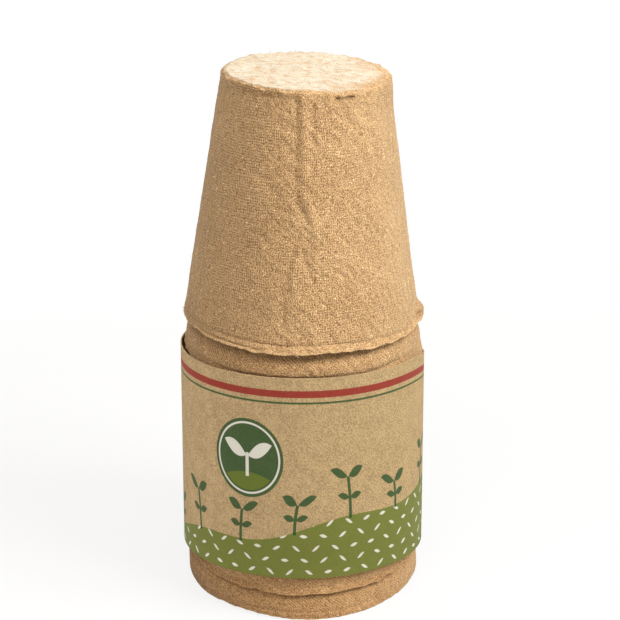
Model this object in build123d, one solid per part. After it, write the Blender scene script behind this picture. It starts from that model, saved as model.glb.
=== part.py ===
from build123d import *
import math
import os

# A stack of round moulded fibre pots, nested upside down, held by a paper sleeve.
# Millimetres, +Z up, the lowest rim stands on Z = 0, the front faces -Y.
# A pot's own heights are measured up from its rim edge, because it stands on its rim.

# Pot
pot_count = 10
pot_height = 80.0
rim_diameter = 80.0
base_diameter = 52.4  # outside of the plain wall, carried up to the base
wall_thickness = 1.35
base_thickness = 1.6
base_corner_radius = 3.2
inner_corner_radius = 2.0

# Flared lip round the rim
lip_overhang = 1.3  # the rim edge stands this far out from the plain wall carried down to it
lip_height = 3.2
lip_thickness = 1.5
lip_shoulder = 1.0
lip_draft = 0.25
lip_root_radius = 1.2
lip_shoulder_radius = 0.8
lip_throat_radius = 1.5
rim_edge_radius = 0.3

# How the pots nest, wall to wall
nest_clearance = 0.285

# Paper sleeve round the lips
sleeve_height = 72.0
sleeve_foot_height = 16.5  # lower edge at the front
sleeve_slant = 6.0  # degrees, the sleeve sits askew and hangs lower at the back
sleeve_thickness = 0.35
sleeve_clearance = 0.3
sleeve_flare = 1.0  # the lower edge stands this much further out than the upper edge

# Glued seam of the sleeve
seam_angle = 135.0  # degrees round from +X, behind and to the left
seam_overlap = 14.0
seam_step = 5.0  # length over which the outer end climbs onto the inner end
seam_end_clearance = 0.4
glue_thickness = 0.12
glue_clearance = 0.01
glue_side_margin = 2.0
glue_end_margin = 3.0

rim_radius = rim_diameter / 2
wall_foot_radius = rim_radius - lip_overhang
base_radius = base_diameter / 2
wall_slope = (wall_foot_radius - base_radius) / pot_height
wall_angle = math.atan(wall_slope)
wall_across = wall_thickness / math.cos(wall_angle)
nest_step = (wall_thickness + nest_clearance) / math.sin(wall_angle)


def outer_radius(height):
    """Outside radius of the plain wall at a height above the rim edge."""
    return wall_foot_radius - wall_slope * height


def inner_radius(height):
    """Inside radius of the plain wall at a height above the rim edge."""
    return outer_radius(height) - wall_across


def make_pot(rim_height):
    """One pot, mouth down, with its rim edge at the given height."""
    ceiling = pot_height - base_thickness
    corners = [
        ((0, pot_height), 0),
        ((base_radius, pot_height), base_corner_radius),
        ((outer_radius(lip_height), lip_height), lip_root_radius),
        ((rim_radius - lip_draft, lip_height - lip_shoulder), lip_shoulder_radius),
        ((rim_radius, 0), rim_edge_radius),
        ((rim_radius - lip_thickness, 0), rim_edge_radius),
        ((inner_radius(lip_height), lip_height), lip_throat_radius),
        ((inner_radius(ceiling), ceiling), inner_corner_radius),
        ((0, ceiling), 0),
    ]
    points = [point for point, radius in corners]
    radii = [radius for point, radius in corners]
    with BuildPart() as pot:
        with BuildSketch(Plane.XZ):
            with BuildLine():
                FilletPolyline(*points, radius=radii, close=True)
            make_face()
        revolve(axis=Axis.Z)
    return Pos(0, 0, rim_height) * pot.part


def sleeve_inner_radius(height):
    """Inside radius of the sleeve's inner layer at a height above the table."""
    rise = (height - sleeve_foot_height) / sleeve_height
    return rim_radius + sleeve_clearance + sleeve_flare * (1 - rise)


def degrees_along(length):
    """Angle that a length of paper takes up round the rims."""
    return math.degrees(length / (rim_radius + sleeve_clearance))


def on_circle(radius, angle):
    return Vector(radius * math.cos(math.radians(angle)), radius * math.sin(math.radians(angle)))


def half_arcs(radius, start, sweep):
    """An arc about the axis, drawn as two equal arcs."""
    CenterArc((0, 0), radius, start, sweep / 2)
    CenterArc((0, 0), radius, start + sweep / 2, sweep / 2)


def sleeve_section(height):
    """Outline of the wrapped paper at a height: one turn, then the end that laps over."""
    inside = sleeve_inner_radius(height)
    outside = inside + sleeve_thickness
    lap_inside = outside + glue_thickness
    lap_outside = lap_inside + sleeve_thickness
    start = seam_angle - degrees_along(seam_overlap) / 2
    lap_start = start + 360 - degrees_along(seam_end_clearance)
    turn_end = lap_start - degrees_along(seam_step)
    lap_end = start + 360 + degrees_along(seam_overlap)
    with BuildSketch(Plane.XY.offset(height)) as section:
        with BuildLine():
            half_arcs(inside, start, turn_end - start)
            Line(on_circle(inside, turn_end), on_circle(lap_inside, lap_start))
            half_arcs(lap_inside, lap_start, lap_end - lap_start)
            Line(on_circle(lap_inside, lap_end), on_circle(lap_outside, lap_end))
            half_arcs(lap_outside, lap_end, lap_start - lap_end)
            Line(on_circle(lap_outside, lap_start), on_circle(outside, turn_end))
            half_arcs(outside, turn_end, start - turn_end)
            Line(on_circle(outside, start), on_circle(inside, start))
        make_face()
    return section.sketch


def glue_section(height):
    """Outline of the glue film between the two layers of the seam at a height."""
    inside = sleeve_inner_radius(height) + sleeve_thickness + glue_clearance
    outside = inside + glue_thickness - 2 * glue_clearance
    sweep = degrees_along(seam_overlap - 2 * glue_side_margin)
    start = seam_angle - sweep / 2
    with BuildSketch(Plane.XY.offset(height)) as section:
        with BuildLine():
            half_arcs(inside, start, sweep)
            Line(on_circle(inside, start + sweep), on_circle(outside, start + sweep))
            half_arcs(outside, start + sweep, -sweep)
            Line(on_circle(outside, start), on_circle(inside, start))
        make_face()
    return section.sketch


def slanted_band(section, margin):
    """Wraps a section round the stack, trimmed a margin inside the sleeve's slanted edges."""
    front = -sleeve_inner_radius(sleeve_foot_height)
    reach = rim_diameter
    slope = math.tan(math.radians(sleeve_slant))

    def edge(front_height, y):
        return front_height - slope * (y - front)

    foot = sleeve_foot_height + margin
    top = sleeve_foot_height + sleeve_height - margin
    corners = [(y, edge(height, y)) for y, height in ((-reach, foot), (-reach, top), (reach, top), (reach, foot))]
    with BuildPart() as slab:
        with BuildSketch(Plane.YZ):
            with BuildLine():
                Polyline(*corners, close=True)
            make_face()
        extrude(amount=reach, both=True)
    tall_band = loft([section(edge(foot, reach)), section(edge(top, -reach))], ruled=True)
    return tall_band & slab.part


def make_sleeve():
    return slanted_band(sleeve_section, 0)


def make_glue():
    return slanted_band(glue_section, glue_end_margin)


os.makedirs("parts", exist_ok=True)

# The pots are numbered from the top of the stack down.
for number in range(1, pot_count + 1):
    pot = make_pot((pot_count - number) * nest_step)
    export_step(pot, f"parts/pot_{number:02d}.step")

export_step(make_sleeve(), "parts/paper_sleeve.step")
export_step(make_glue(), "parts/seam_glue.step")
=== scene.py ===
"""Dresses a stack of moulded fibre pots and its paper sleeve, laid out as a Blender add-on."""

import math
from functools import cached_property

import bpy
import numpy as np
from bpy.props import FloatProperty, FloatVectorProperty, IntProperty, PointerProperty
from bpy.types import Operator, Panel, PropertyGroup
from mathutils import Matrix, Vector


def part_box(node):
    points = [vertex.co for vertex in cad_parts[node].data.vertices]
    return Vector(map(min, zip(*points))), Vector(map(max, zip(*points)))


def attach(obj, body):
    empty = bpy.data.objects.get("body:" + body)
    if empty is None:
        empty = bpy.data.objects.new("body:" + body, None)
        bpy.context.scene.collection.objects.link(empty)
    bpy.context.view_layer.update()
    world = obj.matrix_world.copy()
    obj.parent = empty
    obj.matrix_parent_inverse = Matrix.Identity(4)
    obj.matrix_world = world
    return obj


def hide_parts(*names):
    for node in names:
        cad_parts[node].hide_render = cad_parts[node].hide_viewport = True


bl_info = {
    "name": "Fibre pot stack",
    "version": (1, 0, 0),
    "blender": (4, 5, 0),
    "location": "3D View > Sidebar > Fibre pots",
    "description": "Models nested fibre pots, their paper sleeve and a plain studio",
    "category": "Object",
}

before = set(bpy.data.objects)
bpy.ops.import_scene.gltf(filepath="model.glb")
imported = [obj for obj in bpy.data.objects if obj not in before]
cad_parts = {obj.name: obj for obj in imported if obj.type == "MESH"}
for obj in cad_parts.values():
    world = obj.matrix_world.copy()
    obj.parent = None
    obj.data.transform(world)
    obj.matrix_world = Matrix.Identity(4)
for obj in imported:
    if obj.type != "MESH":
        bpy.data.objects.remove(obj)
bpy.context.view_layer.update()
POTS = sorted(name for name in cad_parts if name.startswith("pot_"))
TOP_POT, SECOND_POT, LOW_POT, FOOT_POT = POTS[0], POTS[1], POTS[-2], POTS[-1]
MM = 0.001
FULL_TURN = 2 * math.pi


def length(name, description, millimetres):
    """A size setting, written in millimetres."""
    return FloatProperty(name=name, description=description, default=millimetres * MM, unit="LENGTH")


def tint(name, description, colour):
    """A colour setting, as linear red, green and blue."""
    return FloatVectorProperty(name=name, description=description, default=colour, subtype="COLOR")


def turn(name, description, degrees):
    """An angle setting, written in degrees."""
    return FloatProperty(name=name, description=description, default=math.radians(degrees), subtype="ANGLE")


def amount(name, description, value):
    """A setting that is a plain number."""
    return FloatProperty(name=name, description=description, default=value)


def divisions(name, description, parts):
    """A setting for how finely a mesh is divided."""
    return IntProperty(name=name, description=description, default=parts)


def power(name, description, watts):
    """A lamp's setting, written in watts."""
    return FloatProperty(name=name, description=description, default=watts, unit="POWER")


class PotSettings(PropertyGroup):
    """Sizes and colours of one fibre pot, standing on its rim."""

    wall_foot: length("Wall foot", "Outside radius of the plain wall, carried down to the rim edge", 38.7)
    base_radius: length("Base radius", "Outside radius of the plain wall, carried up to the base", 26.2)
    wall: length("Wall", "Thickness of the wall", 1.35)
    base: length("Base", "Thickness of the base", 1.6)
    base_rounding: length("Base rounding", "How far the base's edge is rounded", 1.5)
    lip_zone: length("Lip zone", "Height above the rim edge that the lip can reshape", 7.0)
    lip_height: length("Lip height", "Usual height of the crease above the lip", 2.4)
    lip_flare: length("Lip flare", "How far the lip usually stands out from the wall", 1.15)
    lip_crease: length("Lip crease", "Depth of the crease above the lip", 0.22)
    torn_edge: length("Torn edge", "How deep the ragged rim edge is eaten", 0.8)
    wall_waves: length("Wall waves", "How far a nested wall strays from round", 0.07)
    top_segments: divisions("Top segments", "Divisions round the top pot", 448)
    nested_segments: divisions("Nested segments", "Divisions round each other pot", 300)
    # Also painted in streaks over the lip band, as painted shade.
    dark: tint("Dark fibre", "Colour deep in the felt", (0.21, 0.11, 0.044))
    mid: tint("Fibre", "Colour of most of the fibre", (0.386, 0.226, 0.104))
    light: tint("Light fibre", "Colour of raised fibres", (0.555, 0.354, 0.173))
    # Painted light: the top of the base is painted paler than the walls, standing in for the strong light
    # that falls on it.
    pale: tint("Pale base", "Colour of the dry base", (0.515, 0.475, 0.39))
    straw: tint("Straw", "Colour of loose pale fibres", (0.80, 0.60, 0.34))
    # Also the colour of the painted shade in creases, dents and under the lips; at 30% of its brightness it
    # darkens the deepest fold and the pit.
    bark: tint("Bark", "Colour of dark specks", (0.15, 0.07, 0.025))

    @property
    def height(self):
        low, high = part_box(TOP_POT)
        return high.z - low.z

    @property
    def across(self):
        """The wall's thickness, measured level."""
        return self.wall * math.hypot(1, (self.wall_foot - self.base_radius) / self.height)

    def outer(self, height):
        return self.wall_foot - (self.wall_foot - self.base_radius) * height / self.height

    def inner(self, height):
        return self.outer(height) - self.across


class SleeveSettings(PropertyGroup):
    """Sizes and colours of the printed paper sleeve."""

    height: length("Height", "Height of the paper band", 72.0)
    slant: turn("Slant", "How far the sleeve sits askew, lower at the back", 6.0)
    thickness: length("Paper", "Thickness of the paper", 0.35)
    clearance: length("Clearance", "Gap between the lips and the upper edge", 0.3)
    flare: length("Flare", "How much further out the lower edge stands", 1.0)
    bulge: length("Bulge", "How far the paper stands off the lips behind the left edge", 0.3)
    tuck: length("Tuck", "How far the upper edge dips at the right", 4.8)
    hang: length("Hang", "How far the lower edge hangs down at both sides", 2.0)
    press: length("Press", "How far the lower edge is pressed in at the front", 0.8)
    lap: length("Lap", "Length of paper that is glued over the other end", 14.0)
    lap_step: length("Lap step", "Length over which the paper climbs onto the other end", 5.0)
    lap_gap: length("Lap gap", "Gap between the climb and the other end", 0.4)
    glue: length("Glue", "Thickness of the glue in the seam", 0.12)
    glue_side: length("Glue side", "Bare paper each side of the glue", 2.0)
    glue_end: length("Glue end", "Bare paper above and below the glue", 3.0)
    seam: turn("Seam", "Where the seam is, round from +X", 135.0)
    kraft: tint("Kraft", "Colour of the bare paper", (0.54, 0.383, 0.203))
    leaf: tint("Leaf green", "Colour of the printed field", (0.155, 0.200, 0.026))
    forest: tint("Dark green", "Colour of the printed seedlings", (0.017, 0.085, 0.022))
    red: tint("Red", "Colour of the printed stripe", (0.32, 0.014, 0.014))
    cream: tint("Cream", "Colour of the printed seeds", (0.88, 0.85, 0.77))

    @property
    def upper_radius(self):
        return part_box(TOP_POT)[1].x + self.clearance


class StageSettings(PropertyGroup):
    """The camera, the lamps and the floor."""

    camera: FloatVectorProperty(
        name="Camera",
        description="Where the camera stands",
        default=(0.00247, -0.48156, 0.29309),
        unit="LENGTH",
    )
    pitch: turn("Pitch", "How far the camera looks down", 22.39)
    lens: amount("Lens", "Focal length in millimetres", 90.99)
    floor: tint("Floor", "Colour of the floor", (0.60, 0.59, 0.57))
    near: tint("Near floor", "What the camera sees of the floor out of the shadow", (0.970, 0.966, 0.955))
    horizon: length("Horizon", "How far behind the stack the floor turns white", 199.0)
    whiteness: amount("Whiteness", "How far the floor's shadow is washed out", 0.87)
    key: power("Key", "Power of the lamp at the right", 21.8)
    overhead: power("Overhead", "Power of the lamp above", 6.4)
    front: power("Front", "Power of the lamp in front", 8.9)
    rear: power("Rear", "Power of the lamp behind", 4.6)
    room: amount("Room", "Strength of the light all round", 0.03)


class Shade:
    """A number in a material, usable in sums and comparisons."""

    def __init__(self, finish, socket):
        self.finish = finish
        self.socket = socket

    def math(self, operation, *others):
        return self.finish.node("ShaderNodeMath", {"operation": operation}, dict(enumerate((self, *others))))

    def __add__(self, other):
        return self.math("ADD", other)

    def __sub__(self, other):
        return self.math("SUBTRACT", other)

    def __rsub__(self, other):
        return self.math("MULTIPLY_ADD", -1.0, other)

    def __mul__(self, other):
        return self.math("MULTIPLY", other)

    def __truediv__(self, other):
        return self.math("DIVIDE", other)

    def __abs__(self):
        return self.math("ABSOLUTE")

    __radd__ = __add__
    __rmul__ = __mul__

    def sine(self):
        return self.math("SINE")

    def largest(self, other):
        return self.math("MAXIMUM", other)

    def between(self, low, high):
        """0 at low and 1 at high, eased at both ends."""
        settings = {"interpolation_type": "SMOOTHSTEP"}
        sockets = {"Value": self, "From Min": low, "From Max": high}
        return self.finish.node("ShaderNodeMapRange", settings, sockets)


class Finish:
    """The nodes of a material, or of the room's light, under construction."""

    def __init__(self, owner, shader="Principled BSDF"):
        owner.use_nodes = True
        self.owner = owner
        self.tree = owner.node_tree
        self.shader = self.tree.nodes[shader]

    def node(self, kind, settings=None, sockets=None, output=0):
        """Adds a node, sets it up, fills or links its sockets and gives one of its outputs."""
        made = self.tree.nodes.new(kind)
        for key, value in (settings or {}).items():
            setattr(made, key, value)
        for key, value in (sockets or {}).items():
            self.feed(made.inputs[key], value)
        return Shade(self, made.outputs[output])

    def feed(self, socket, value):
        if isinstance(value, Shade):
            self.tree.links.new(value.socket, socket)
        else:
            socket.default_value = value

    def set(self, **sockets):
        """Fills or links the shader's sockets, named with underscores for spaces."""
        for key, value in sockets.items():
            self.feed(self.shader.inputs[key.replace("_", " ")], value)

    @cached_property
    def place(self):
        """Where a point is, in metres."""
        return self.node("ShaderNodeTexCoord", output="Object")

    def part(self, axis, vector=None):
        """One part of a vector, or else of the place."""
        return self.node("ShaderNodeSeparateXYZ", {}, {"Vector": vector or self.place}, output=axis)

    def noise(self, size, detail=2.0, rough=0.5, place=None):
        """Noise from 0 to 1 whose patches are about the given size across."""
        sockets = {"Vector": place or self.place, "Scale": 1 / size, "Detail": detail, "Roughness": rough}
        return self.node("ShaderNodeTexNoise", {}, sockets)

    def streaks(self, rotation, sizes, detail=0.0):
        """Noise whose patches are turned and measure the given millimetres along their three sides."""
        scale = [1 / (size * MM) for size in sizes]
        sockets = {"Vector": self.place, "Rotation": rotation}
        turned = self.node("ShaderNodeMapping", {"vector_type": "TEXTURE"}, sockets)
        patches = self.node("ShaderNodeVectorMath", {"operation": "MULTIPLY"}, {0: turned, 1: scale})
        return self.noise(1.0, detail, place=patches)

    def seen(self):
        """1 in what the camera sees, directly or in a reflection, and 0 in all other light."""
        camera = self.node("ShaderNodeLightPath", output="Is Camera Ray")
        return camera.largest(self.node("ShaderNodeLightPath", output="Is Glossy Ray"))

    def mix(self, share, first, second, blend="MIX"):
        """The second colour laid over the first by a share from 0 to 1."""
        settings = {"data_type": "RGBA", "blend_type": blend, "clamp_factor": True}
        return self.node("ShaderNodeMix", settings, {0: share, 6: paint(first), 7: paint(second)}, output=2)

    def attribute(self, name):
        return self.node("ShaderNodeAttribute", {"attribute_name": name}, output="Fac")

    def bump(self, height, depth):
        return self.node("ShaderNodeBump", {}, {"Height": height, "Distance": depth}, output="Normal")


def new_finish(name):
    return Finish(bpy.data.materials.new(name))


def paint(colour, level=1.0):
    """A colour setting at a level of brightness, as the four numbers that a colour socket takes."""
    if isinstance(colour, Shade):
        return colour
    return (*(min(1.0, level * part) for part in tuple(colour)[:3]), 1.0)


def ease(values, low, high):
    """0 at low and 1 at high, eased at both ends."""
    share = np.clip((values - low) / (high - low), 0, 1)
    return share * share * (3 - 2 * share)


def hump(values, middle, width):
    """1 at the middle, falling away on both sides."""
    return np.exp(-(((values - middle) / width) ** 2))


def ripple(angle, lobes, seed):
    """A smooth wave round the pot, within -1 and 1, with the given numbers of lobes."""
    draw = np.random.default_rng(seed)
    waves = (
        draw.uniform(0.4, 1.0) * np.sin(number * angle + draw.uniform(0, FULL_TURN))
        for number in lobes
    )
    return sum(waves) / len(lobes)


def ragged(angle, steps, seed):
    """A torn line round the pot, from 0 to 1, with a random height at each step."""
    heights = np.random.default_rng(seed).random(steps)
    return np.interp(np.mod(angle / FULL_TURN, 1) * steps, np.arange(steps), heights, period=steps)


def wander(angle, height, seed):
    """Gentle unevenness over a wall, within -1 and 1."""
    draw = np.random.default_rng(seed)
    lobes = ((1, 14), (2, 9), (3, 20), (5, 31), (7, 17), (9, 45), (13, 60), (19, 80))
    waves = (
        draw.uniform(0.5, 1.0) * np.sin(number * angle + rise * height / 0.1 + draw.uniform(0, FULL_TURN))
        for number, rise in lobes
    )
    return sum(waves) / len(lobes)


def distance_to_line(path, angle, height, radius):
    """How far each point of a wall is from a line drawn on it through (degrees, millimetres up) points."""
    nearest = np.full(angle.shape, np.inf)
    for (first_angle, first_height), (last_angle, last_height) in zip(path, path[1:]):
        across = (angle - math.radians(first_angle)) * radius
        up = height - first_height * MM
        run = math.radians(last_angle - first_angle) * radius
        rise = (last_height - first_height) * MM
        share = np.clip((across * run + up * rise) / (run * run + rise * rise), 0, 1)
        nearest = np.minimum(nearest, np.hypot(across - share * run, up - share * rise))
    return nearest


def read_points(piece, field="co"):
    points = np.empty(len(piece.data.vertices) * 3)
    piece.data.vertices.foreach_get(field, points)
    return points.reshape(-1, 3)


def write_points(piece, points):
    piece.data.vertices.foreach_set("co", points.ravel())
    piece.data.update()


def tag_points(piece, name, values):
    """Stores a number at each point, or one for all, for the material to read."""
    layer = piece.data.attributes.new(name, "FLOAT", "POINT")
    layer.data.foreach_set("value", np.full(len(layer.data), values, np.float32))


def start_alone(piece=None):
    """Leaves only this piece selected, or nothing."""
    bpy.ops.object.select_all(action="DESELECT")
    if piece:
        piece.select_set(True)
        bpy.context.view_layer.objects.active = piece


def new_piece(name):
    """The object that an operator has just added, under its name."""
    piece = bpy.context.object
    piece.name = piece.data.name = name
    return piece


def copy_piece(piece, name):
    start_alone(piece)
    bpy.ops.object.duplicate(linked=False)
    return new_piece(name)


def select_nearest(mesh, parts, place_of, place):
    """Selects only the point or edge that lies nearest to a place, in edit mode."""
    bpy.ops.object.mode_set(mode="OBJECT")
    for part in (*mesh.vertices, *mesh.edges):
        part.select = False
    min(parts, key=lambda part: (place_of(part) - place).length).select = True
    bpy.ops.object.mode_set(mode="EDIT")


def turn_section(name, segments, corners):
    """Draws half a section corner by corner, rounds it, divides its runs and spins it round the axis.

    Each corner is (radius, height, rounding, step along the run that follows)."""
    start_alone()
    bpy.ops.mesh.primitive_plane_add(size=MM)
    piece = new_piece(name)
    mesh = piece.data
    places = [Vector((radius, 0, height)) for radius, height, rounding, step in corners]
    bpy.ops.object.mode_set(mode="EDIT")
    bpy.ops.mesh.select_mode(type="VERT")
    bpy.ops.mesh.merge(type="CENTER")
    bpy.ops.transform.translate(value=places[0])
    for here, there in zip(places, places[1:]):
        bpy.ops.mesh.extrude_region_move(TRANSFORM_OT_translate={"value": there - here})
    for place, (radius, height, rounding, step) in zip(places, corners):
        if rounding:
            select_nearest(mesh, mesh.vertices, lambda point: point.co, place)
            bpy.ops.mesh.bevel(offset=rounding, segments=5, profile=0.5, affect="VERTICES")

    def ends(edge):
        return [mesh.vertices[number].co for number in edge.vertices]

    bpy.ops.mesh.select_mode(type="EDGE")
    for here, there, (radius, height, rounding, step) in zip(places, places[1:], corners):
        select_nearest(mesh, mesh.edges, lambda edge: sum(ends(edge), Vector()) / 2, (here + there) / 2)
        cuts = round((there - here).length / step) - 1
        if cuts > 0:
            bpy.ops.mesh.subdivide(number_cuts=cuts)
    bpy.ops.mesh.select_mode(type="VERT")
    bpy.ops.mesh.select_all(action="SELECT")
    bpy.ops.mesh.spin(steps=segments, angle=FULL_TURN, center=(0, 0, 0), axis=(0, 0, 1))
    bpy.ops.mesh.select_all(action="SELECT")
    bpy.ops.mesh.remove_doubles(threshold=0.001 * MM)
    bpy.ops.mesh.normals_make_consistent(inside=False)
    bpy.ops.object.mode_set(mode="OBJECT")
    bpy.ops.object.shade_smooth()
    return piece


def make_shell(settings, name, segments, wall_step, lip_step):
    """A plain pot with straight walls, standing with its rim edge at zero."""
    tall, zone, ceiling = settings.height, settings.lip_zone, settings.height - settings.base
    inside_step = 2.4 * MM
    edge_rounding = 0.12 * MM
    inner_rounding = 1.8 * MM
    return turn_section(name, segments, (
        (0, tall, 0, wall_step),
        (settings.base_radius, tall, settings.base_rounding, wall_step),
        (settings.outer(zone), zone, 0, lip_step),
        (settings.outer(0), 0, edge_rounding, lip_step),
        (settings.inner(0), 0, edge_rounding, lip_step),
        (settings.inner(zone), zone, 0, inside_step),
        (settings.inner(ceiling), ceiling, inner_rounding, inside_step),
        (0, ceiling, 0, None),
    ))


def unroll(piece, settings, angle, radius, height, outside):
    """Lays the pot's skin out flat: round the pot across the map, and along its section up the map."""
    tall = settings.height
    ceiling = tall - settings.base
    slack = 0.02 * MM
    inner_start = settings.wall_foot + tall + settings.wall
    inner_end = inner_start + ceiling + settings.inner(ceiling)
    along = np.where(outside > 0.5, settings.base_radius + tall - height, inner_start + height)
    along = np.where((outside > 0.5) & (height > tall - slack), radius, along)
    along = np.where((outside < 0.5) & (height > ceiling - slack), inner_end - radius, along)
    round_share = np.mod(angle / FULL_TURN - 0.25, 1)
    mesh = piece.data
    corner_point = np.empty(len(mesh.loops), np.int32)
    mesh.loops.foreach_get("vertex_index", corner_point)
    first = np.empty(len(mesh.polygons), np.int32)
    count = np.empty(len(mesh.polygons), np.int32)
    mesh.polygons.foreach_get("loop_start", first)
    mesh.polygons.foreach_get("loop_total", count)
    face = np.repeat(np.arange(len(first)), count)
    u = round_share[corner_point]
    at_pole = radius[corner_point] < 0.01 * MM
    widest = np.maximum.reduceat(np.where(at_pole, 0, u), first)[face]
    u = np.where((widest - u > 0.5) & ~at_pole, u + 1, u)
    corners = np.maximum(np.add.reduceat(~at_pole, first), 1)
    middle = np.add.reduceat(np.where(at_pole, 0, u), first) / corners
    u = np.where(at_pole, middle[face], u)
    v = along[corner_point] / along.max()
    layer = mesh.uv_layers.new(name="unrolled")
    layer.data.foreach_set("uv", np.stack([np.clip(u, 0, 1), v], axis=1).astype(np.float32).ravel())


# How far a pot is squeezed out of round, its base strays from flat and single points of its felt stray.
OVAL, BASE_WAVES, FELT = 0.12 * MM, 0.12 * MM, 0.035 * MM

# How far the top pot's wall strays from round.
TOP_WAVES = 0.22 * MM

# The top pot's lip, as (degrees, edge lifted, edge flared, height of its crease) in millimetres.
TOP_LIP = (
    (-180, 0.9, 0.15, 2.4), (-156, 1.5, 0.60, 2.2), (-138, 1.5, 1.05, 3.2), (-123, 0.8, 1.15, 2.9),
    (-106, 0.4, 1.25, 2.5), (-93, 0.8, 1.30, 2.5), (-83, 0.8, 1.30, 2.5), (-75, 0.8, 1.30, 2.4),
    (-64, 0.5, 1.30, 2.1), (-56, -0.2, 1.30, 1.9), (-47, -0.3, 1.30, 1.6), (-40, -0.6, 1.30, 1.4),
    (-33, -0.5, 1.30, 0.9), (-24, -0.4, 1.20, 0.9), (-17, 0.1, 1.30, 1.8), (-10, -0.1, 1.50, 3.0),
    (6, -0.4, 1.40, 3.4), (25, 0.3, 1.30, 3.0), (60, 0.3, 1.15, 2.4), (120, 0.6, 1.00, 2.6),
)

# How far the wall of a nested pot that shows stands out above its lip: millimetres up and millimetres out.
BULGES = {
    SECOND_POT: ((0, 0.3), (2.4, 1.0), (4, 1.5), (6, 1.6), (7.3, 1.25), (8.6, 0.5), (9.6, 0.1), (10.6, 0)),
    LOW_POT: ((0, 0.6), (1, 0.9), (2.3, 1.3), (4, 1.7), (5.5, 2.1), (7, 2.2), (9, 1.1), (10.6, 0)),
    FOOT_POT: (
        (0, 1.1), (2, 1.5), (4, 1.75), (6, 1.9), (7.5, 1.9), (8.6, 1.6), (9.6, 1.2), (10.6, 0.9), (13.5, 0),
    ),
}

# Creases on the front of the top pot: points as (degrees, millimetres up), half width, millimetres out
# and the darkness of the painted shade in them.
TOP_CREASES = (
    (((-96.2, 78.5), (-94.8, 71.5), (-95.0, 58), (-93.3, 48.3), (-88.3, 42.6)), 0.7, -0.30, 1.3),
    (((-92.2, 79), (-90.2, 67.7), (-89.6, 58), (-90.0, 49), (-85.4, 44.9), (-83.0, 38)), 1.2, 0.60, 0),
    (((-85.4, 77.3), (-84.6, 67.7), (-83.2, 53)), 0.8, -0.22, 0.8),
    (((-93.8, 34), (-97.1, 25.3), (-96.1, 20.7)), 0.8, -0.40, 1),
    (((-92.0, 33), (-94.8, 25), (-93.8, 20)), 0.8, 0.25, 0),
    (((-89.7, 31.5), (-83.7, 23)), 0.8, -0.40, 1),
    (((-99.3, 20.6), (-98.0, 9)), 0.8, -0.40, 1),
    (((-69.0, 78.3), (-64.5, 78.1), (-56.5, 78.3)), 0.60, -0.80, 7),
)

# Dents of the top pot: degrees and their spread, millimetres up and their spread, depth and the darkness of
# the painted shade in them.
TOP_DENTS = (
    (-146, 4, 78.0, 0.9, 0.55, 1),
    (-133, 5, 78.4, 0.9, 0.55, 1),
    (-119, 6, 77.8, 0.9, 0.55, 1),
    (-108, 4, 78.2, 0.9, 0.55, 1),
    (-99, 3, 77.6, 0.9, 0.55, 1),
    (-77, 5, 78.0, 0.9, 0.55, 1),
    (-44, 4, 77.8, 0.9, 0.55, 1),
    (-125, 26, 77.0, 1.5, 0.50, 1.5),
    (-10, 5, 1.5, 0.8, 0.70, 4),
)

# How far the wire print is diagonal instead of square. The pots that aren't named have the usual share.
DIAGONAL = {TOP_POT: 0.0, SECOND_POT: 0.9}
USUAL_DIAGONAL = 0.75

# How far the colour of a pot that shows is warmer than the others'.
WARMTH = {SECOND_POT: 0.4, LOW_POT: 1.0, FOOT_POT: 1.0}

# Loose fibres on the pots that show: how many on the lip, on the wall and along the base's edge.
FUZZ = {TOP_POT: (260, 150, 70), SECOND_POT: (110, 40, 0), LOW_POT: (150, 0, 0), FOOT_POT: (190, 20, 0)}


def lip_waves(settings, node, angle, seed):
    """Height of the crease above a pot's lip, how far its edge stands out and how far it is lifted."""
    degrees = np.degrees(angle)
    crease = settings.lip_height * (1 + 0.35 * ripple(angle, (1, 2, 4, 7, 12), seed))
    flare = settings.lip_flare * (1 + 0.28 * ripple(angle, (1, 2, 3, 5, 9), seed + 1))
    lift = settings.torn_edge * (0.5 + 0.6 * ripple(angle, (2, 3, 5, 8, 13), seed + 2))
    if node == TOP_POT:
        stations, *columns = zip(*TOP_LIP)
        lift, flare, crease = (np.interp(degrees, stations, column, period=360) * MM for column in columns)
        crease = crease * (1 + 0.12 * ripple(angle, (7, 12, 19), seed))
    if node in (TOP_POT, LOW_POT):
        lift = lift + 0.6 * MM * ripple(angle, (11, 17, 26, 37), seed + 12)
    if node == SECOND_POT:
        flare = flare * (1 - 0.6 * hump(np.mod(degrees, 360), 190, 25))
        lift = lift - 4.2 * MM * hump(degrees, 2, 26)
    if node == LOW_POT:
        flare = 0.8 * flare
        crease = 0.7 * crease
        lift = lift - 1.2 * MM
    if node == FOOT_POT:
        flare = 0.3 * flare
        lift = lift - 0.6 * MM + 1.3 * MM * hump(degrees, -118, 22)
    torn_lines = ((0.4, 130, 3), (0.3, 61, 4), (0.4, 290, 8))
    tears = sum(share * ragged(angle, steps, seed + shift) for share, steps, shift in torn_lines)
    return crease, flare, lift + settings.torn_edge * (tears - 0.55)


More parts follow.
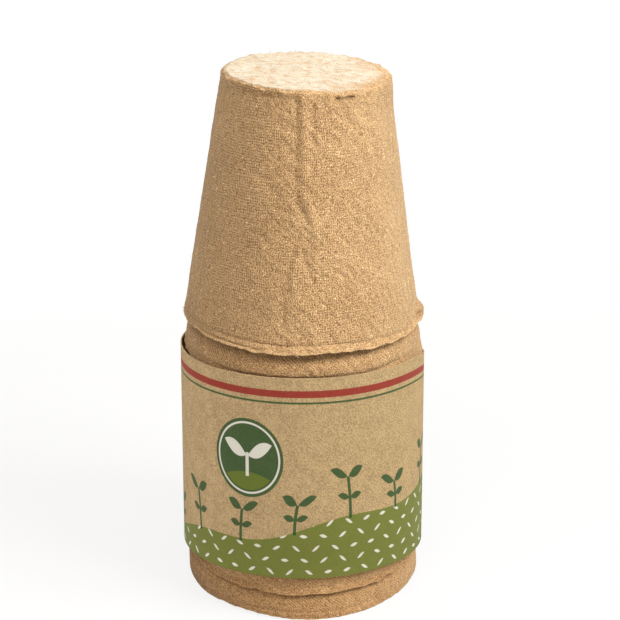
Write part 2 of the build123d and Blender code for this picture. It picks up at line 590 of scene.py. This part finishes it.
def press_lip(settings, node, angle, height, outside, seed):
    """A flared, torn and layered lip.

    Gives each point's move outward and upward, how dark its painted shade is and how low on the lip it is."""
    degrees = np.degrees(angle)
    on_top = float(node == TOP_POT)
    crease, flare, lift = lip_waves(settings, node, angle, seed)
    below = np.clip(1 - height / crease, 0, 1)
    near_edge = np.clip(1 - height / settings.lip_zone, 0, 1) ** 2
    fray = 0.4 * MM * (ragged(angle, 190, seed + 5) - 0.5)
    curl = 1.1 + 0.9 * on_top * hump(degrees, -8, 12)
    outward = (flare + fray * below) * below**curl
    # Painted shade: the crease above the lip is dented in and painted darker.
    painted_shade = hump(height, crease + 0.2 * MM, 0.5 * MM) * outside
    outward -= settings.lip_crease * painted_shade

    split = on_top * hump(degrees, -128, 24)
    parting = crease * (0.36 + 0.12 * ripple(angle, (5, 9, 16, 27), seed + 9))
    parted = np.maximum(ragged(angle, 40, seed + 10), split)
    layer = hump(height, parting, 0.3 * MM) * outside * parted
    outward -= (0.16 + 0.35 * split) * MM * layer
    # The parting between the layers, deepest at the left, is painted darker too, as painted shade.
    return outward, lift * near_edge, np.maximum(painted_shade, 2 * split * layer), below


def bulge(node, angle, height):
    """How far the wall of a nested pot that shows stands out above its lip."""
    degrees = np.degrees(angle)
    stand = np.interp(height / MM, *zip(*BULGES[node])) * MM
    if node == SECOND_POT:
        at_right = 0.6 * MM * hump(degrees, 0, 25) * hump(height, 2.5 * MM, 2 * MM)
        return stand * (0.3 + 0.7 * hump(degrees, -95, 55)) + at_right
    return stand * (1 + 0.5 * hump(np.mod(degrees, 360), 185, 40))


def keep_within(points, node):
    """Draws back the points that stand out too far for the sleeve round them."""
    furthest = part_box(node)[1].x + 0.2 * MM
    radius = np.maximum(np.hypot(points[:, 0], points[:, 1]), MM)
    points[:, :2] *= np.minimum(1, furthest / radius)[:, None]


def press_pot(piece, settings, node, seed):
    """Moves a plain pot's points: uneven walls, a torn lip, felted faces. Sets it on its rim and tags it."""
    points = read_points(piece)
    normals = read_points(piece, "normal")
    angle = np.arctan2(points[:, 1], points[:, 0])
    degrees = np.degrees(angle)
    radius = np.hypot(points[:, 0], points[:, 1])
    height = points[:, 2].copy()
    depth = (settings.outer(height) - radius) / settings.across
    on_base = height > settings.height - settings.base / 2
    outside = np.where(on_base, 1.0, ease(depth, 0.6, 0.4))
    unroll(piece, settings, angle, radius, height, outside)

    outward, upward, painted_shade, below = press_lip(settings, node, angle, height, outside, seed)
    from_axis = radius / settings.wall_foot
    outward += OVAL * from_axis * np.cos(2 * (angle - math.radians(35)))
    waves = TOP_WAVES * outside if node == TOP_POT else settings.wall_waves
    outward += waves * from_axis * wander(angle, height, seed + 6)
    if node in BULGES:
        outward += bulge(node, angle, height)
        # Painted shadow: the wall just under the lip of the pot above is painted darker.
        painted_shade = np.maximum(painted_shade, 3.0 * hump(height, 10.8 * MM, 1.5 * MM) * outside)
    dimples = BASE_WAVES * on_base * np.sin(points[:, 0] / (4.1 * MM))
    upward += dimples * np.sin(points[:, 1] / (5.3 * MM) + seed)
    felt = np.random.default_rng(seed + 7).normal(0, FELT, len(points))
    felt *= np.minimum(1, radius / (12 * MM))
    points += normals * felt[:, None]
    if node == TOP_POT:
        out, lean, up, top_painted_shade = press_top(settings, angle, radius, height, outside)
        outward += out
        upward += up
        painted_shade = np.maximum(painted_shade, top_painted_shade)
        points[:, 0] += lean
    points[:, 0] += outward * np.cos(angle)
    points[:, 1] += outward * np.sin(angle)
    keep_within(points, node)
    points[:, 2] += upward
    if node == FOOT_POT:
        points[:, 2] = np.maximum(points[:, 2], 0)
    points[:, 2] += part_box(node)[0].z
    write_points(piece, points)

    # Painted shade: the inside of the pot is painted darker towards the rim edge.
    painted_shade = np.maximum(painted_shade, 2.5 * (1 - outside) * ease(height, 6 * MM, 1 * MM))
    # The two lowest pots are painted a little darker all over.
    if node in (LOW_POT, FOOT_POT):
        painted_shade = np.maximum(painted_shade, 1.0)
    # Painted shade: the second pot is darker at the front, under the top pot's lip.
    if node == SECOND_POT:
        painted_shade = np.maximum(painted_shade, 0.9 * hump(degrees, -92, 30))
    from_edge = settings.base_radius - radius - (settings.height - height)
    border = 1.4 * MM + 4.6 * MM * hump(degrees, -12, 50)
    tag_points(piece, "lip", ease(below, 0, 0.3) * outside + ease(below, 0.7, 0.95))
    tag_points(piece, "base", ease(from_edge / border, -0.3, 1.6) * outside)
    tag_points(piece, "painted_shade", painted_shade)
    tag_points(piece, "weave", DIAGONAL.get(node, USUAL_DIAGONAL))
    tag_points(piece, "warmth", WARMTH.get(node, 0.0))


def press_top(settings, angle, radius, height, outside):
    """What only the top pot has: creases, dents, a nib on its lip, a lean to the right, a lumpy base edge.

    Gives how far each point moves outward, to the right and upward, and how dark its painted shade is."""
    degrees = np.degrees(angle)
    tall = settings.height
    on_wall = outside * ease(radius, 18 * MM, 23 * MM)
    outward = 1.8 * MM * hump(degrees, -5, 7) * ease(height, 3.2 * MM, 2.0 * MM)
    painted_shade = np.zeros(len(angle))
    # Each crease and dent is pressed in or out and painted darker by its darkness, as painted shade.
    for path, width, stand, darkness in TOP_CREASES:
        mark = hump(distance_to_line(path, angle, height, radius), 0, width * MM) * on_wall
        mark *= 0.85 + 0.15 * np.sin(height / (1.9 * MM) + 40 * stand) * np.sin(height / (4.3 * MM))
        outward += stand * MM * mark
        painted_shade = np.maximum(painted_shade, darkness * mark)
    for middle, spread, level, level_spread, depth, darkness in TOP_DENTS:
        dent = hump(degrees, middle, spread) * hump(height, level * MM, level_spread * MM) * on_wall
        outward -= depth * MM * dent
        painted_shade = np.maximum(painted_shade, darkness * dent)

    corner = hump(degrees, -12, 32) * outside
    outward += 0.7 * MM * corner * hump(height, tall - 3 * MM, 5 * MM)
    skin = np.maximum(outside, ease(height, tall - 10 * MM, tall - 6 * MM))
    lean = np.maximum(0.0225 * (height - 30 * MM), -0.35 * MM) * skin
    upward = (0.5 * MM - 0.032 * radius * np.cos(angle)) * ease(height, 20 * MM, 75 * MM) * skin
    edge = hump(height, tall - 0.8 * MM, 1.3 * MM) * on_wall
    outward += 0.75 * MM * edge * ripple(angle, (9, 14, 23, 31, 47), 5)
    upward += 0.60 * MM * edge * ripple(angle, (8, 13, 21, 29, 43), 6)
    droop = hump(degrees, -58, 17) * ease(radius, 14 * MM, 26 * MM) * outside
    outward += 0.5 * MM * droop * hump(height, tall - 1.5 * MM, 3 * MM)
    upward -= 0.9 * MM * droop * ease(height, tall - 6 * MM, tall)
    return outward, lean, upward, painted_shade


def crossing_fibres(finish):
    """Fine lines that cross each other: 1 on a fibre and 0 between."""
    fibres = None
    for rotation in ((0.3, 0.2, 0.1), (0.9, 1.1, 0.5), (1.7, 0.4, 2.2)):
        streak = finish.streaks(rotation, (2.4, 0.5, 0.5))
        line = (1 - abs(streak - 0.5) * 12).largest(0.0)
        fibres = line if fibres is None else fibres.largest(line)
    return fibres


def fibre_finish(settings):
    """Moulded fibre: felted grain, the print of a wire mould, flecks, a base painted paler as painted light,
    a torn lip with painted shade on its band and a lighter edge, and painted shade in creases, dents and
    under the lips.
    """
    finish = new_finish("moulded_fibre")
    rightward = finish.part("X").between(-10 * MM, 26 * MM)
    border = finish.noise(1.4 * MM) * 0.9 + finish.noise(5 * MM, 1.0) * 0.6 - 0.75
    on_base = (finish.attribute("base") + border).between(0.1, 0.95)
    lip = finish.attribute("lip")
    on_lip = lip.math("MINIMUM", 1.0)

    grain = finish.streaks((0, 0, 0), (0.23, 0.23, 0.32))
    felt = finish.noise(0.8 * MM, 1.0, 0.6)
    mottle = finish.noise(14 * MM, 1.0)
    mesh = wire_print(finish) * (1 - finish.attribute("base")) * (1 - on_lip)
    relief = grain * 0.78 + felt * 0.14 + crossing_fibres(finish) * 0.08
    relief = relief + mesh * (0.07 - 0.04 * rightward)
    tone = (relief - 0.48) * (1.14 - 0.28 * rightward) + (mottle - 0.5) * 0.12
    tone = tone.between(-0.12, 0.16)
    colour = finish.mix((tone * 2).math("MINIMUM", 1.0), settings.dark, settings.mid)
    colour = finish.mix((tone * 2 - 1).largest(0.0), colour, settings.light)
    straw = finish.streaks((0.7, 0.5, 1.9), (2.6, 0.6, 0.6))
    colour = finish.mix(straw.between(0.755, 0.80) * 0.75, colour, settings.straw)
    bark = finish.noise(1.2 * MM, 0.0)
    colour = finish.mix(bark.between(0.77, 0.82) * 0.7, colour, settings.bark)

    wrinkle = finish.streaks((0, 0, 0.05), (2.5, 2.5, 1.5), 3.0)
    # Painted light: the base is painted paler, with wrinkles and tan patches, for the strong light on its
    # top.
    pale = finish.mix((wrinkle * 0.6 + grain * 0.4).between(0.3, 0.58), settings.mid, settings.pale)
    tan = finish.streaks((0, 0, 0.05), (8, 7, 4), 3.0).between(0.42, 0.64)
    pale = finish.mix(tan * (0.2 + 0.3 * rightward), pale, settings.mid)
    colour = finish.mix(on_base * (0.7 + 0.3 * tone), colour, pale)

    # Painted shade: the lip band is painted darker in streaks, to tone down the light its upturned face
    # catches.
    torn = finish.streaks((0, 0, 0), (2.5, 2.5, 0.45), 1.0)
    colour = finish.mix(on_lip * (1 - torn.between(0.3, 0.7)) * 0.35, colour, settings.dark)
    # The rim edge is painted lighter in patches: pale frayed fibre, and partly a painted highlight.
    frayed_highlight = finish.noise(2 * MM).between(0.4, 0.65)
    colour = finish.mix(lip.between(1.2, 1.9) * frayed_highlight * 0.6, colour, settings.light)
    colour = finish.mix(finish.attribute("warmth"), colour, (1.0, 0.92, 0.83), "MULTIPLY")
    # Painted shade: creases, dents, the gaps under the lips and the inside near the rim are painted darker,
    # and the fold under the base's edge and the pit in the lip almost black.
    painted_shade = finish.attribute("painted_shade")
    colour = finish.mix(painted_shade * 0.15, colour, settings.bark)
    colour = finish.mix((painted_shade - 3).between(0.0, 2.0), colour, paint(settings.bark, 0.3))

    lumps = finish.streaks((0.15, 0.2, 0), (4, 4, 9), 2.0) * 0.6
    folds = finish.streaks((0, -0.75, 0), (1.7, 1.7, 7)) * 0.4
    swell = (lumps + folds - 0.5) * (1.75 - 0.5 * on_base - 0.45 * rightward)
    surface = relief * (0.37 - 0.06 * rightward) + swell + wrinkle * on_base * 1.2
    finish.set(
        Base_Color=colour,
        Roughness=0.98 - 0.12 * tone,
        Specular_IOR_Level=0.1,
        Sheen_Weight=0.3,
        Sheen_Roughness=0.5,
        Sheen_Tint=(1.0, 0.80, 0.55, 1.0),
        Normal=finish.bump(surface, MM),
    )
    return finish.owner


def make_fuzz(settings, node, pot, counts, seed):
    """Loose fibres that stand off a pot's lip, wall and base edge: one fibre, repeated and set in place."""
    draw = np.random.default_rng(seed)
    points, normals = read_points(pot), read_points(pot, "normal")
    height = points[:, 2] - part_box(node)[0].z
    radius = np.hypot(points[:, 0], points[:, 1])
    outside = (normals[:, :2] * points[:, :2]).sum(axis=1) > 0
    on_lip = (height < 2.6 * MM) & outside
    on_wall = (height > 4 * MM) & (height < settings.height - 2 * MM) & outside
    on_edge = (abs(height - settings.height) < 1.8 * MM) & (radius > settings.base_radius - 3 * MM)
    zones = zip((on_lip, on_wall, on_edge), counts)
    roots = np.concatenate([draw.choice(np.flatnonzero(zone), count) for zone, count in zones])

    start_alone()
    bpy.ops.mesh.primitive_cylinder_add(vertices=3, radius=1, depth=1, end_fill_type="NOTHING")
    fuzz = new_piece(f"loose_fibres_{node}")
    bpy.ops.object.mode_set(mode="EDIT")
    for level in (-0.25, 0, 0.25):
        bpy.ops.mesh.select_all(action="SELECT")
        bpy.ops.mesh.bisect(plane_co=(0, 0, level), plane_no=(0, 0, 1))
    bpy.ops.object.mode_set(mode="OBJECT")
    fibre = read_points(fuzz)
    bpy.ops.object.modifier_add(type="ARRAY")
    fuzz.modifiers[-1].count = len(roots)
    bpy.ops.object.modifier_apply(modifier=fuzz.modifiers[-1].name)
    bpy.ops.object.shade_smooth()

    along = (fibre[:, 2] + 0.5)[None, :, None]
    reach = draw.uniform(0.4, 1.5, (len(roots), 1, 1)) * MM
    thickness = draw.uniform(0.03, 0.06, (len(roots), 1, 1)) * MM
    heading = normals[roots] * draw.uniform(0.1, 0.8, (len(roots), 1)) + draw.normal(0, 0.6, (len(roots), 3))
    heading /= np.linalg.norm(heading, axis=1)[:, None]
    curl = draw.normal(0, 0.45, (len(roots), 1, 3))
    across = np.cross(heading, (0.3, 0.5, 0.8))
    across /= np.linalg.norm(across, axis=1)[:, None]
    other = np.cross(heading, across)
    root = (points[roots] - 0.1 * MM * normals[roots])[:, None]
    spine = root + reach * (heading[:, None] * along + curl * along**2)
    ring = across[:, None] * fibre[None, :, 0:1] + other[:, None] * fibre[None, :, 1:2]
    places = (spine + ring * thickness * (1 - 0.6 * along)).reshape(-1, 3)
    keep_within(places, node)
    places[:, 2] = np.maximum(places[:, 2], 0)
    write_points(fuzz, places)
    return fuzz


def fuzz_finish(settings):
    """Single fibres, some of them pale."""
    finish = new_finish("loose_fibre")
    tone = finish.noise(3 * MM, 1.0)
    finish.set(
        Base_Color=finish.mix(tone.between(0.3, 0.7), settings.mid, settings.straw),
        Roughness=0.8 + 0.1 * tone,
        Specular_IOR_Level=0.2,
    )
    return finish.owner


def wire_print(finish):
    """The faint print of the mould's wire cloth, square on the top pot and mostly diagonal on the others."""
    around = finish.part("Y").math("ARCTAN2", finish.part("X"))
    rise = finish.part("Z") * (FULL_TURN / MM)
    stray = finish.noise(3 * MM, 1.0) * 8
    square = (around * 296 + stray).sine() + (rise / 0.84 + stray).sine()
    diagonal = (around * 199 + rise / 1.08 + stray).sine() * 2
    weave = finish.attribute("weave")
    cloth = square * (1 - weave) + diagonal * weave
    return cloth * finish.noise(16 * MM, 1.0).between(0.35, 0.60)


def wrap_blank(piece, settings, start, blank_length, margin, lift):
    """Wraps a flat unit blank round the stack, trimmed a margin inside the sleeve's slanted edges.

    start is where the blank begins, round from +X, and lift its distance outside the sleeve's inner face."""
    points = read_points(piece)
    along = (points[:, 0] + 0.5) * blank_length
    rise = margin + (points[:, 1] + 0.5) * (settings.height - 2 * margin)
    upper = settings.upper_radius
    angle = start + along / upper
    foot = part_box("paper_sleeve")[1].z - settings.height
    front = -(upper + settings.flare)
    radius = upper
    degrees = np.mod(np.degrees(angle), 360)
    from_right = np.mod(degrees + 180, 360) - 180
    share = rise / settings.height
    tucked = settings.tuck * hump(from_right, 12, 27) * ease(share, 0.5, 1)
    at_sides = hump(from_right, 0, 35) + hump(degrees, 180, 35)
    hanging = settings.hang * at_sides * ease(share, 0.5, 0)
    pressed = settings.press * hump(degrees, 270, 50) * ease(share, 0.25, 0)
    slope = math.tan(settings.slant)
    # The height and the radius depend on each other, and settle within a few rounds.
    for _ in range(4):
        height = foot + rise - tucked - hanging - slope * (radius * np.sin(angle) - front)
        radius = upper + settings.flare * (1 - (height - foot) / settings.height)
    reach = radius + lift(along) + settings.bulge * hump(degrees, 168, 14) - pressed
    write_points(piece, np.stack([reach * np.cos(angle), reach * np.sin(angle), height], axis=1))


def give_thickness(piece, thickness, inner_slot):
    """Thickens a sheet evenly to both sides, with its inner side and edges in the given material slot."""
    bpy.ops.object.modifier_add(type="SOLIDIFY")
    sheet = piece.modifiers[-1]
    sheet.thickness = thickness
    sheet.offset = 0
    sheet.material_offset = inner_slot
    sheet.material_offset_rim = inner_slot
    bpy.ops.object.modifier_apply(modifier=sheet.name)
    bpy.ops.object.shade_smooth_by_angle(angle=math.radians(40))


def make_sleeve(settings):
    """The paper band: a flat blank wrapped round the lips, with its end lapped over its start."""
    once_round = FULL_TURN * settings.upper_radius
    blank_length = once_round + settings.lap
    start_alone()
    bpy.ops.mesh.primitive_grid_add(x_subdivisions=420, y_subdivisions=48, size=1)
    piece = new_piece("printed_sleeve")

    def lift(along):
        lapped = once_round - settings.lap_gap
        climb = ease(along, lapped - settings.lap_step, lapped)
        return settings.thickness / 2 + climb * (settings.thickness + settings.glue)

    start = settings.seam - settings.lap / 2 / settings.upper_radius
    wrap_blank(piece, settings, start, blank_length, 0, lift)
    piece.data.materials.append(printed_finish(settings, blank_length, once_round))
    piece.data.materials.append(kraft_finish(settings))
    give_thickness(piece, settings.thickness, 1)
    return piece


def make_glue(settings):
    """The dried glue film between the two layers of the seam."""
    width = settings.lap - 2 * settings.glue_side
    start_alone()
    bpy.ops.mesh.primitive_grid_add(x_subdivisions=20, y_subdivisions=40, size=1)
    piece = new_piece("seam_glue_film")

    def lift(along):
        return settings.thickness + settings.glue / 2

    start = settings.seam - width / 2 / settings.upper_radius
    wrap_blank(piece, settings, start, width, settings.glue_end, lift)
    piece.data.materials.append(glue_finish())
    give_thickness(piece, 0.8 * settings.glue, 0)
    return piece


def kraft_paper(finish, settings):
    """Colour and relief of bare kraft: cloudy formation, short fibres and fine specks."""
    cloud = finish.noise(4 * MM, 5.0, 0.65)
    speck = finish.noise(0.4 * MM, 0.0)
    fleck = finish.streaks((0.4, 0.9, 0.2), (1.4, 0.4, 0.4), 1.0)
    tone = (cloud * 0.3 + speck * 0.45 + fleck * 0.25).between(0.38, 0.62)
    colour = finish.mix(tone, paint(settings.kraft, 0.74), paint(settings.kraft, 1.2))
    colour = finish.mix(fleck.between(0.66, 0.74) * 0.4, colour, paint(settings.kraft, 1.4))
    colour = finish.mix((1 - fleck).between(0.68, 0.76) * 0.4, colour, paint(settings.kraft, 0.55))
    return colour, cloud * 0.4 + fleck * 0.6


def painted_shade_to_right(finish, colour):
    """Painted shade: paper and print a little darker towards the right of the front, where the key lamp
    lights them most.
    """
    rightward = finish.part("X") * 0.87 - finish.part("Y") * 0.5
    return finish.mix(rightward.between(-42 * MM, 42 * MM), colour, (0.62, 0.59, 0.54), "MULTIPLY")


def kraft_finish(settings):
    """Bare kraft, on the sleeve's inner side and edges."""
    finish = new_finish("bare_kraft")
    colour, relief = kraft_paper(finish, settings)
    # The base colour carries painted shade, darker towards the right of the front.
    finish.set(
        Base_Color=painted_shade_to_right(finish, colour),
        Roughness=0.9 - 0.1 * relief,
        Specular_IOR_Level=0.15,
        Normal=finish.bump(relief, 0.05 * MM),
    )
    return finish.owner


def printed_finish(settings, blank_length, once_round):
    """Kraft printed with a rolling field, sown seeds, a row of seedlings, two stripes and an oval badge."""
    finish = new_finish("printed_kraft")
    colour, relief = kraft_paper(finish, settings)
    flat = finish.node("ShaderNodeUVMap")
    along = finish.part("X", flat) * (blank_length / MM)
    up = finish.part("Y", flat) * (settings.height / MM)
    round_mm = once_round / MM
    ink = None
    for mask, tone in print_masks(along, up, round_mm, settings):
        colour = finish.mix(mask * (0.93 + 0.07 * relief), colour, finish.mix(relief * 0.12, tone, colour))
        ink = mask if ink is None else ink.largest(mask)
    # The base colour carries painted shade, darker towards the right of the front.
    finish.set(
        Base_Color=painted_shade_to_right(finish, colour),
        Roughness=0.88 - 0.1 * relief - 0.2 * ink,
        Specular_IOR_Level=0.15,
        Normal=finish.bump(relief, 0.05 * MM),
    )
    return finish.owner


def print_masks(along, up, round_mm, settings):
    """Each printed shape and its ink, from the ground up. Places are millimetres along and up the band."""

    def field_top(at):
        swell = (at * (FULL_TURN / round_mm) - 2.18).sine() * 8.5
        return swell + (at * (5 * FULL_TURN / round_mm)).sine() * 1.6 + 15.5

    def shape(inside):
        """1 where the number is above zero, with a soft edge."""
        return inside.between(-0.12, 0.12)

    def band(low, high):
        return shape((high - low) / 2 - abs(up - (high + low) / 2))

    field = shape(field_top(along) - up)
    yield field, settings.leaf
    yield field * sown_seeds(along, up, shape), settings.cream
    yield seedlings(along, up, round_mm, field_top, shape), settings.forest
    yield band(65.4, 67.8), settings.red
    yield band(63.2, 63.9), settings.forest
    yield from badge(along - 84, up - 43, shape, settings)


def badge(x, y, shape, settings):
    """An oval with a seedling on a mound of soil. Places are millimetres from its middle."""
    half_width, half_height = 12, 14
    from_middle = (x * x / half_width**2 + y * y / half_height**2).math("SQRT")
    from_border = (1 - from_middle) * half_width
    yield shape(from_border), settings.forest
    yield shape(0.3 - abs(from_border - 1.3)), settings.cream
    soil = shape(from_border - 2.2) * shape(-5.0 - y - x * x / 30)
    yield soil, settings.leaf
    stem = shape(0.55 - abs(x)) * shape(y + 6.5) * shape(2.0 - y)
    leaves = shape(leaf(abs(x), y - 0.8, 8.0, 2.5, 0.55))
    yield stem.largest(leaves), settings.cream


def leaf(side, rise, reach, breadth, slope):
    """Above zero inside a pointed leaf that starts at a stem, reaches to the side and slopes up."""
    return (1 - abs(side / reach * 2 - 1.08).math("POWER", 2.0)) * breadth - abs(rise - side * slope)


def sown_seeds(along, up, shape):
    """Small slanting grains in staggered rows."""
    row_height, spacing = 4.6, 6.3
    row = (up / row_height).math("FLOOR")
    stagger = (row * 2.4).sine() * 2.2
    spot = (along + stagger) / spacing
    number = spot.math("FLOOR")
    x = (spot - number - 0.5) * spacing
    y = up - row * row_height - row_height / 2
    lean = (row * 1.9 + number * 2.6).sine() * 0.9
    return shape((1 - (abs(x) / 1.25).math("POWER", 2.0)) * 0.62 - abs(y - x * lean))


def seedlings(along, up, round_mm, field_top, shape):
    """A row of young plants with two pairs of leaves, standing on the field's edge."""
    pitch = round_mm / 14
    number = (along / pitch).math("FLOOR")
    ground = field_top((number + 0.5) * pitch) - 1.0
    tall = (number * 2.4).sine() * 2.8 + 12.5
    rise = up - ground
    bend = (number * 1.7).sine() * (rise / tall) * (rise / tall) * 1.3
    side = abs(along - (number + 0.5) * pitch - bend)
    stem = shape(0.5 - side) * shape(rise) * shape(tall - rise)
    plants = stem
    for share, reach, breadth, slope in ((1.0, 5.2, 1.75, 0.55), (0.5, 3.8, 1.25, 0.3)):
        plants = plants.largest(shape(leaf(side, rise - tall * share, reach, breadth, slope)))
    return plants


def glue_finish():
    """Cloudy yellowish glue."""
    finish = new_finish("dried_glue")
    cloud = finish.noise(2 * MM, 3.0)
    colour = finish.mix(cloud, (0.55, 0.44, 0.25), (0.74, 0.66, 0.46))
    finish.set(Base_Color=colour, Roughness=0.35 + 0.2 * cloud, Normal=finish.bump(cloud, 0.02 * MM))
    return finish.owner


def floor_finish(settings):
    """A pale floor that keeps its shadow softly and turns white towards the back and far out."""
    finish = new_finish("pale_floor")
    cloud = finish.noise(300 * MM)
    finish.set(Base_Color=finish.mix(cloud * 0.1, settings.floor, (0.8, 0.8, 0.8)), Roughness=0.9)
    blur = 50 * MM
    near, far = 400 * MM, 900 * MM
    back = finish.part("Y").between(settings.horizon - blur, settings.horizon + blur)
    reach = finish.node("ShaderNodeVectorMath", {"operation": "LENGTH"}, {0: finish.place}, output="Value")
    beyond = back.largest(reach.between(near, far))
    seen = finish.mix(beyond, settings.near, (1.0, 1.0, 1.0))
    glow = finish.node("ShaderNodeEmission", {}, {"Color": seen})
    share = finish.seen() * (beyond * (1 - settings.whiteness) + settings.whiteness)
    plain = Shade(finish, finish.shader.outputs["BSDF"])
    surface = finish.node("ShaderNodeMixShader", {}, {0: share, 1: plain, 2: glow})
    finish.feed(finish.tree.nodes["Material Output"].inputs["Surface"], surface)
    return finish.owner


def add_lamp(name, watts, colour, size, place):
    """A square soft lamp that looks at the middle of the stack."""
    aim = Vector((0, 0, 0.10))
    bpy.ops.object.light_add(type="AREA", location=place)
    lamp = bpy.context.object
    lamp.name = name
    lamp.data.energy = watts
    lamp.data.color = colour
    lamp.data.size = size
    lamp.rotation_euler = (aim - Vector(place)).to_track_quat("-Z", "Y").to_euler()


def light_room(world, strength):
    """White to the camera and to reflections, a soft level of light to everything else."""
    room = Finish(world, "Background")
    room.set(Color=(1.0, 1.0, 1.0, 1.0), Strength=room.seen() * (1 - strength) + strength)


class FIBREPOT_OT_pots(Operator):
    """Model every pot of the stack"""

    bl_idname = "fibrepot.pots"
    bl_label = "Make pots"

    def execute(self, context):
        settings = context.scene.fibre_pot
        fine = {"segments": settings.top_segments, "wall_step": 1.1 * MM, "lip_step": 0.30 * MM}
        coarse = {"segments": settings.nested_segments, "wall_step": 2.2 * MM, "lip_step": 0.45 * MM}
        top = make_shell(settings, f"fibre_{TOP_POT}", **fine)
        shell = make_shell(settings, f"fibre_{SECOND_POT}", **coarse)
        pieces = {TOP_POT: top, SECOND_POT: shell}
        for node in POTS[2:]:
            pieces[node] = copy_piece(shell, f"fibre_{node}")
        finish = fibre_finish(settings)
        for number, (node, piece) in enumerate(pieces.items()):
            press_pot(piece, settings, node, seed=11 + 17 * number)
            piece.data.materials.append(finish)
            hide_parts(node)
            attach(piece, node)
        loose = fuzz_finish(settings)
        for number, (node, counts) in enumerate(FUZZ.items()):
            fuzz = make_fuzz(settings, node, pieces[node], counts, seed=301 + number)
            fuzz.data.materials.append(loose)
            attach(fuzz, node)
        return {"FINISHED"}


class FIBREPOT_OT_sleeve(Operator):
    """Model the printed sleeve and the glue in its seam"""

    bl_idname = "fibrepot.sleeve"
    bl_label = "Make paper sleeve"

    def execute(self, context):
        settings = context.scene.fibre_sleeve
        sleeve = make_sleeve(settings)
        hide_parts("paper_sleeve")
        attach(sleeve, "sleeve")
        glue = make_glue(settings)
        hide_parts("seam_glue")
        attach(glue, "sleeve")
        return {"FINISHED"}


class FIBREPOT_OT_stage(Operator):
    """Set up the floor, the lamps and the camera"""

    bl_idname = "fibrepot.stage"
    bl_label = "Set the stage"

    def execute(self, context):
        scene = context.scene
        settings = scene.fibre_stage
        start_alone()
        bpy.ops.mesh.primitive_plane_add(size=8)
        floor = new_piece("floor")
        floor.data.materials.append(floor_finish(settings))
        white = (1.0, 1.0, 1.0)
        add_lamp("key_lamp", settings.key, (0.97, 1.02, 1.03), 0.5, (0.72, -0.34, 0.95))
        add_lamp("overhead_lamp", settings.overhead, white, 0.7, (0.1, -0.1, 1.1))
        add_lamp("front_lamp", settings.front, (1.04, 0.98, 0.93), 0.7, (-0.42, -0.62, 1.05))
        add_lamp("rear_lamp", settings.rear, white, 0.3, (0.0, 0.95, 0.25))
        scene.world = scene.world or bpy.data.worlds.new("room")
        light_room(scene.world, settings.room)
        bpy.ops.object.camera_add(location=settings.camera, rotation=(math.pi / 2 - settings.pitch, 0, 0))
        camera = context.object
        camera.data.lens = settings.lens
        camera.data.clip_start = 0.01
        scene.camera = camera
        scene.view_settings.view_transform = "Standard"
        return {"FINISHED"}


class FIBREPOT_PT_panel(Panel):
    """The stack's settings and the buttons that make it"""

    bl_idname = "FIBREPOT_PT_panel"
    bl_label = "Fibre pots"
    bl_space_type = "VIEW_3D"
    bl_region_type = "UI"
    bl_category = "Fibre pots"

    def draw(self, context):
        for operator in OPERATORS:
            self.layout.operator(operator.bl_idname)
        for name, group in SETTINGS.items():
            box = self.layout.box()
            for setting in group.__annotations__:
                box.prop(getattr(context.scene, name), setting)


OPERATORS = (FIBREPOT_OT_pots, FIBREPOT_OT_sleeve, FIBREPOT_OT_stage)
SETTINGS = {"fibre_pot": PotSettings, "fibre_sleeve": SleeveSettings, "fibre_stage": StageSettings}


def register():
    for made in (*SETTINGS.values(), *OPERATORS, FIBREPOT_PT_panel):
        bpy.utils.register_class(made)
    for name, group in SETTINGS.items():
        setattr(bpy.types.Scene, name, PointerProperty(type=group))


def unregister():
    for name in SETTINGS:
        delattr(bpy.types.Scene, name)
    for made in (FIBREPOT_PT_panel, *OPERATORS, *SETTINGS.values()):
        bpy.utils.unregister_class(made)


def main():
    register()
    bpy.ops.fibrepot.pots()
    bpy.ops.fibrepot.sleeve()
    bpy.ops.fibrepot.stage()


if __name__ == "__main__":
    main()
